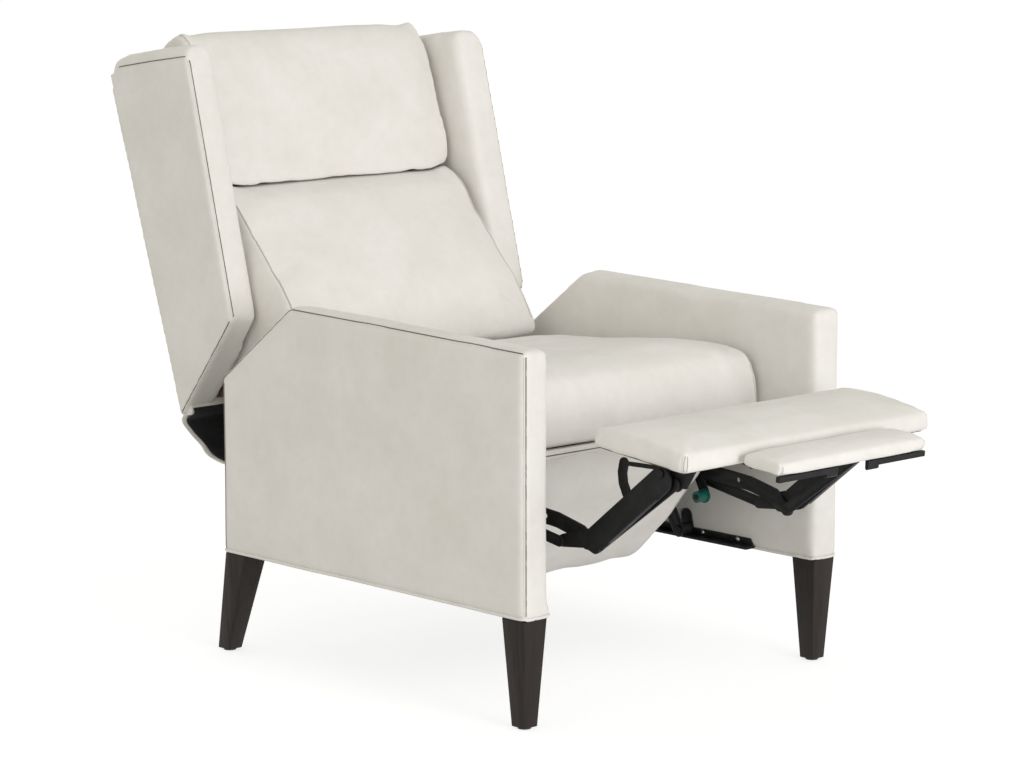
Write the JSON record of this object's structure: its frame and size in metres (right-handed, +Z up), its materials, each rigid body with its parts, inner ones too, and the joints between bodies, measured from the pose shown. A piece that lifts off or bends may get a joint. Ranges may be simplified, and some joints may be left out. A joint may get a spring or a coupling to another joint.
{
  "type": "power recliner armchair",
  "caption": "Wing-back power recliner in leather, footrest raised and back reclined, on tapered wooden legs, with linkage, drive motor and buttons.",
  "frame": {"origin": "centre of the footprint box on the floor, with the chair reclined and the footrest out", "axes": "+Y to the back of the chair, +X to the sitter's left, +Z up"},
  "size_m": [0.752, 1.4894, 1.0773],
  "materials": {
    "leather": "smooth off-white upholstery leather with fine grain",
    "dark_wood": "dark espresso satin lacquer",
    "frame_wood": "plain sawn hardwood",
    "black_steel": "black electrocoat",
    "zinc_steel": "zinc plated",
    "bush_plastic": "moulded green bushing",
    "black_plastic": "moulded black plastic"
  },
  "bodies": {
    "base": {"arm_frames": "frame_wood", "base_cross_tubes": "black_steel", "button_plate": "black_plastic", "front_left_leg": "dark_wood", "front_right_leg": "dark_wood", "left_arm_cover": "leather", "left_base_rail": "black_steel", "leg_glides": "black_plastic", "rear_left_leg": "dark_wood", "rear_right_leg": "dark_wood", "rear_stretcher": "dark_wood", "right_arm_cover": "leather", "right_base_rail": "black_steel"},
    "back": {"back_panel": "leather", "back_posts": "frame_wood", "back_rails": "frame_wood", "headrest_cushion": "leather", "left_back_bracket": "black_steel", "left_wing": "leather", "lumbar_cushion": "leather", "right_back_bracket": "black_steel", "right_wing": "leather", "tail_flap": "leather"},
    "drive_block": {"drive_block": "black_plastic"},
    "carriage": {"drive_motor": "black_plastic", "drive_rail": "zinc_steel", "left_seat_plate": "black_steel", "right_seat_plate": "black_steel", "seat_apron": "leather", "seat_cross_tubes": "black_steel", "seat_cushion": "leather", "seat_front_rail": "leather", "seat_rear_rail": "frame_wood", "seat_side_rails": "frame_wood", "seat_springs": "zinc_steel", "swing_axles": "zinc_steel"},
    "flap": {"flap_brackets": "black_steel", "front_flap": "leather"},
    "footrest": {"flap_hinges": "black_steel", "footrest_board": "frame_wood", "footrest_pad": "leather", "left_footrest_bracket": "black_steel", "right_footrest_bracket": "black_steel"},
    "front_swing": {"front_left_swing_link": "black_steel", "front_right_swing_link": "black_steel"},
    "control": {"left_control_link": "black_steel", "right_control_link": "black_steel"},
    "front_link": {"left_front_link": "black_steel", "right_front_link": "black_steel"},
    "guide": {"left_guide_link": "black_steel", "right_guide_link": "black_steel"},
    "lift": {"left_lift_link": "black_steel", "lift_torque_tube": "black_steel", "link_bushings": "bush_plastic", "right_lift_link": "black_steel"},
    "push_link": {"push_link": "black_steel"},
    "rear_swing": {"rear_left_swing_link": "black_steel", "rear_right_swing_link": "black_steel"},
    "recline_button": {"recline_button": "zinc_steel"},
    "return_button": {"return_button": "zinc_steel"}
  },
  "joints": [
    {"name": "recline", "type": "hinge", "parent": "base", "child": "rear_swing", "pos_m": [0, 0.14532, 0.19932], "axis": [1, 0, 0], "range_deg": [0, 38.4]},
    {"name": "front_swing_pivot", "type": "hinge", "parent": "base", "child": "front_swing", "pos_m": [0, -0.07468, 0.19932], "axis": [1, 0, 0], "range_deg": [0, 38.41]},
    {"name": "carriage_pivot", "type": "hinge", "parent": "rear_swing", "child": "carriage", "pos_m": [0, 0.21896, 0.33], "axis": [1, 0, 0], "range_deg": [-38.41, 0]},
    {"name": "back_lean", "type": "hinge", "parent": "carriage", "child": "back", "pos_m": [0, 0.18696, 0.3], "axis": [1, 0, 0], "range_deg": [0, 14.31]},
    {"name": "footrest_lift", "type": "hinge", "parent": "carriage", "child": "lift", "pos_m": [0, -0.17305, 0.33], "axis": [1, 0, 0], "range_deg": [0, 118]},
    {"name": "guide_pivot", "type": "hinge", "parent": "carriage", "child": "guide", "pos_m": [0, -0.11904, 0.324], "axis": [1, 0, 0], "range_deg": [0, 118.01]},
    {"name": "elbow_pivot", "type": "hinge", "parent": "lift", "child": "front_link", "pos_m": [0, -0.37001, 0.29527], "axis": [1, 0, 0], "range_deg": [-118.01, 0]},
    {"name": "control_pivot", "type": "hinge", "parent": "lift", "child": "control", "pos_m": [0, -0.38888, 0.28864], "axis": [1, 0, 0], "range_deg": [-119.08, 0]},
    {"name": "footrest_pivot", "type": "hinge", "parent": "front_link", "child": "footrest", "pos_m": [0, -0.54106, 0.43202], "axis": [1, 0, 0], "range_deg": [0, 84.41]},
    {"name": "flap_fold", "type": "hinge", "parent": "footrest", "child": "flap", "pos_m": [0, -0.64999, 0.44646], "axis": [1, 0, 0], "range_deg": [0, 168.01]},
    {"name": "push_link_pivot", "type": "hinge", "parent": "lift", "child": "push_link", "pos_m": [0, -0.14485, 0.34026], "axis": [1, 0, 0], "range_deg": [-124.35, 0]},
    {"name": "drive_slide", "type": "slide", "parent": "carriage", "child": "drive_block", "axis": [0, 1, 0], "range_m": [-0.04894, 0]},
    {"name": "recline_button_press", "type": "slide", "parent": "base", "child": "recline_button", "axis": [-1, 0, 0], "range_m": [0, 0.0015], "stiffness_N_per_m": 600, "springref_m": -0.0005},
    {"name": "return_button_press", "type": "slide", "parent": "base", "child": "return_button", "axis": [-1, 0, 0], "range_m": [0, 0.0015], "stiffness_N_per_m": 600, "springref_m": -0.0005}
  ],
  "couplings": [
    {"joint": "front_swing_pivot", "follows": "recline", "ratio": 1},
    {"joint": "carriage_pivot", "follows": "recline", "ratio": -1},
    {"joint": "back_lean", "follows": "recline", "ratio": 0.3724},
    {"joint": "guide_pivot", "follows": "footrest_lift", "ratio": 1},
    {"joint": "elbow_pivot", "follows": "footrest_lift", "ratio": -1},
    {"joint": "control_pivot", "follows": "footrest_lift", "ratio": -1.009},
    {"joint": "footrest_pivot", "follows": "footrest_lift", "ratio": 0.71525},
    {"joint": "flap_fold", "follows": "footrest_lift", "ratio": 1.4237},
    {"joint": "push_link_pivot", "follows": "footrest_lift", "ratio": -1.0537},
    {"joint": "drive_slide", "follows": "footrest_lift", "m_per_rad": -0.023716}
  ]
}
